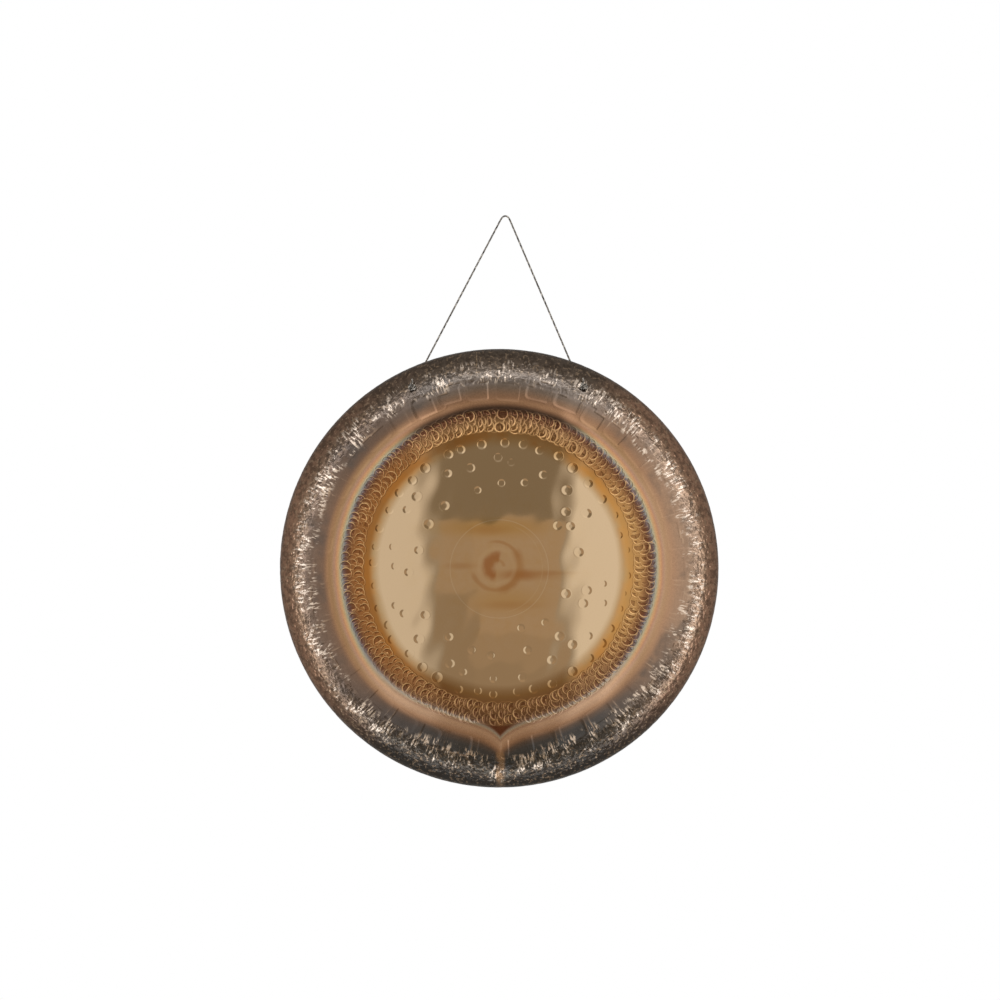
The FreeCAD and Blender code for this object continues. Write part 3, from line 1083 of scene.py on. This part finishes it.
def bronze_material():
    bronze = Bronze()
    bronze.set("Base Color", bronze_colour(bronze))
    bronze.set("Metallic", 1.0)
    oxide = bronze.times(bronze.mask("radius", 183.0 * MM, 222.0 * MM), OXIDE_ROUGHNESS)
    fine = bronze.times(bronze.at["fine"], bronze.mask(*ON_SHOULDER), FINE_ROUGHNESS)
    bronze.set("Roughness", bronze.plus(bronze.plus(POLISHED_ROUGHNESS, oxide), fine))
    dents = bronze.times(bronze.at["dents"], bronze.mask("radius", 256.0 * MM, 266.0 * MM))
    bronze.bump(dents, 1.0 * MM)
    return bronze.material


gong = make_gong(bronze_material())
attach(gong, "gong")
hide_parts("gong_disc")


# Studio.

scene = bpy.context.scene
scene.view_settings.view_transform = "Standard"


def studio_light(name, side, up, width, height, radiance, tint, distance=CAMERA_DISTANCE):
    """A soft panel beside the camera, facing the gong."""
    data = bpy.data.lights.new(name, "AREA")
    data.shape = "RECTANGLE"
    data.size = width
    data.size_y = height
    data.color = tint
    data.energy = radiance * math.pi * width * height
    light = bpy.data.objects.new(name, data)
    scene.collection.objects.link(light)
    back = CAMERA_DISTANCE - distance
    place = camera_place + camera_side * side + camera_up * up + camera_forward * back
    turn = Matrix((camera_side, camera_up, -camera_forward)).transposed()
    light.matrix_world = Matrix.Translation(place) @ turn.to_4x4()
    light.visible_camera = False


PANEL_WIDTH = 2.4
PANEL_HEIGHT = 3.4
PANEL_GAP = 0.385                   # from the camera's axis to the middle of a panel's soft inner edge
SOFT_EDGE = (-0.045, -0.015, 0.015, 0.045)
PANEL_TINT = (1.0, 0.98, 0.95)
FILL_TINT = (1.0, 0.72, 0.50)


def soft_panel(name, sign, radiance):
    """A tall panel whose inner edge fades out, made of thinner ones a little apart."""
    for k, shift in enumerate(SOFT_EDGE):
        side = sign * (PANEL_GAP + PANEL_WIDTH / 2.0 + shift)
        studio_light(f"{name}_{k}", side, 0.0, PANEL_WIDTH, PANEL_HEIGHT, radiance / len(SOFT_EDGE),
                     PANEL_TINT, CAMERA_DISTANCE - 0.01 * k)


# Each weak light between the panels: its left, right, bottom and top edge in metres, and its radiance.
FILLS = [
    ("fill_middle", -0.15, 0.36, -0.55, 0.08, 0.19),
    ("fill_low", -0.15, 0.36, -0.72, -0.55, 0.145),
    ("fill_lowest", -0.15, 0.36, -1.75, -0.72, 0.105),
    ("fill_upper_left", -0.36, -0.15, -0.33, 0.08, 0.17),
    ("fill_lower_left", -0.36, -0.15, -1.75, -0.33, 0.09),
]


def fill(name, left, right, bottom, top, radiance):
    studio_light(name, (left + right) / 2.0, (bottom + top) / 2.0, right - left, top - bottom,
                 radiance, FILL_TINT)


soft_panel("panel_left", -1.0, 0.475)
soft_panel("panel_right", 1.0, 0.56)
for fill_edges in FILLS:
    fill(*fill_edges)

# Angle off the room's own axis, which points a little below the camera, radiance, and how warm it is.
ROOM_LIGHT = [
    (180, 0.25, 0.2), (110, 0.36, 0.3), (80, 0.40, 0.3), (60, 0.45, 0.3), (50, 0.7, 0.2),
    (47, 1.95, 0.05), (43, 1.95, 0.05), (40, 0.7, 0.2),
    (33, 0.38, 0.4), (24, 0.40, 0.6), (20, 0.25, 1.0), (0, 0.235, 1.0),
]
ROOM_DROP = math.radians(13.0)
ROOM_TURN = math.radians(2.0)


def make_world():
    """White behind the object, and for reflections a dim room with a soft ring of light well off the
    camera's axis, as from a tent's upper edge, side flags and table."""
    world = bpy.data.worlds.new("studio")
    scene.world = world
    world.use_nodes = True
    tree = Nodes(world.node_tree)
    room = tree.nodes["Background"]
    towards = tree.add("ShaderNodeVectorMath", operation="DOT_PRODUCT")
    tree.put(towards.inputs[0], tree.coordinates("Generated"))
    room_axis = -camera_forward * math.cos(ROOM_DROP) - camera_up * math.sin(ROOM_DROP)
    room_axis = room_axis * math.cos(ROOM_TURN) + camera_side * math.sin(ROOM_TURN)
    towards.inputs[1].default_value = room_axis
    share = tree.math("MULTIPLY_ADD", towards.outputs["Value"], 0.5, 0.5)
    stops = []
    for degrees, level, warmth in ROOM_LIGHT:
        stops.append((0.5 + 0.5 * math.cos(math.radians(degrees)),
                      (level, level * (1.0 - 0.18 * warmth), level * (1.0 - 0.4 * warmth))))
    tree.put(room.inputs["Color"], tree.ramp(share, stops))
    white = tree.add("ShaderNodeBackground", Color=(1.0, 1.0, 1.0))
    chosen = tree.nodes.new("ShaderNodeMixShader")
    seen = tree.nodes.new("ShaderNodeLightPath").outputs["Is Camera Ray"]
    for socket, value in zip(chosen.inputs, (seen, room.outputs[0], white.outputs[0])):
        tree.put(socket, value)
    tree.put(tree.nodes["World Output"].inputs["Surface"], chosen.outputs[0])


make_world()


FLOOR_LEVEL = -1.45
FLOOR_REACH = 30.0                  # to both sides and in front of the gong
FLOOR_BACK = 6.0


def make_floor():
    shader = Shader("floor_white")
    cloud = shader.noise(shader.coordinates(), 0.7, detail=2.0)
    shader.set("Base Color", shader.ramp(cloud, [(0.3, (0.86, 0.86, 0.85)), (0.7, (0.9, 0.9, 0.89))]))
    shader.set("Roughness", 0.8)
    xs = np.linspace(-FLOOR_REACH, FLOOR_REACH, 19)
    ys = np.linspace(-FLOOR_REACH, FLOOR_BACK, 16)
    grid_x, grid_y = np.meshgrid(xs, ys, indexing="ij")
    points = np.stack([grid_x.ravel(), grid_y.ravel(), np.full(grid_x.size, FLOOR_LEVEL)], axis=1)
    i, j = np.meshgrid(np.arange(len(xs) - 1), np.arange(len(ys) - 1), indexing="ij")
    k = i * len(ys) + j
    quads = np.stack([k, k + len(ys), k + len(ys) + 1, k + 1], axis=-1)
    return link_mesh("floor", points, quads.reshape(-1, 4), None, [shader.material])


floor = make_floor()
floor.visible_glossy = False
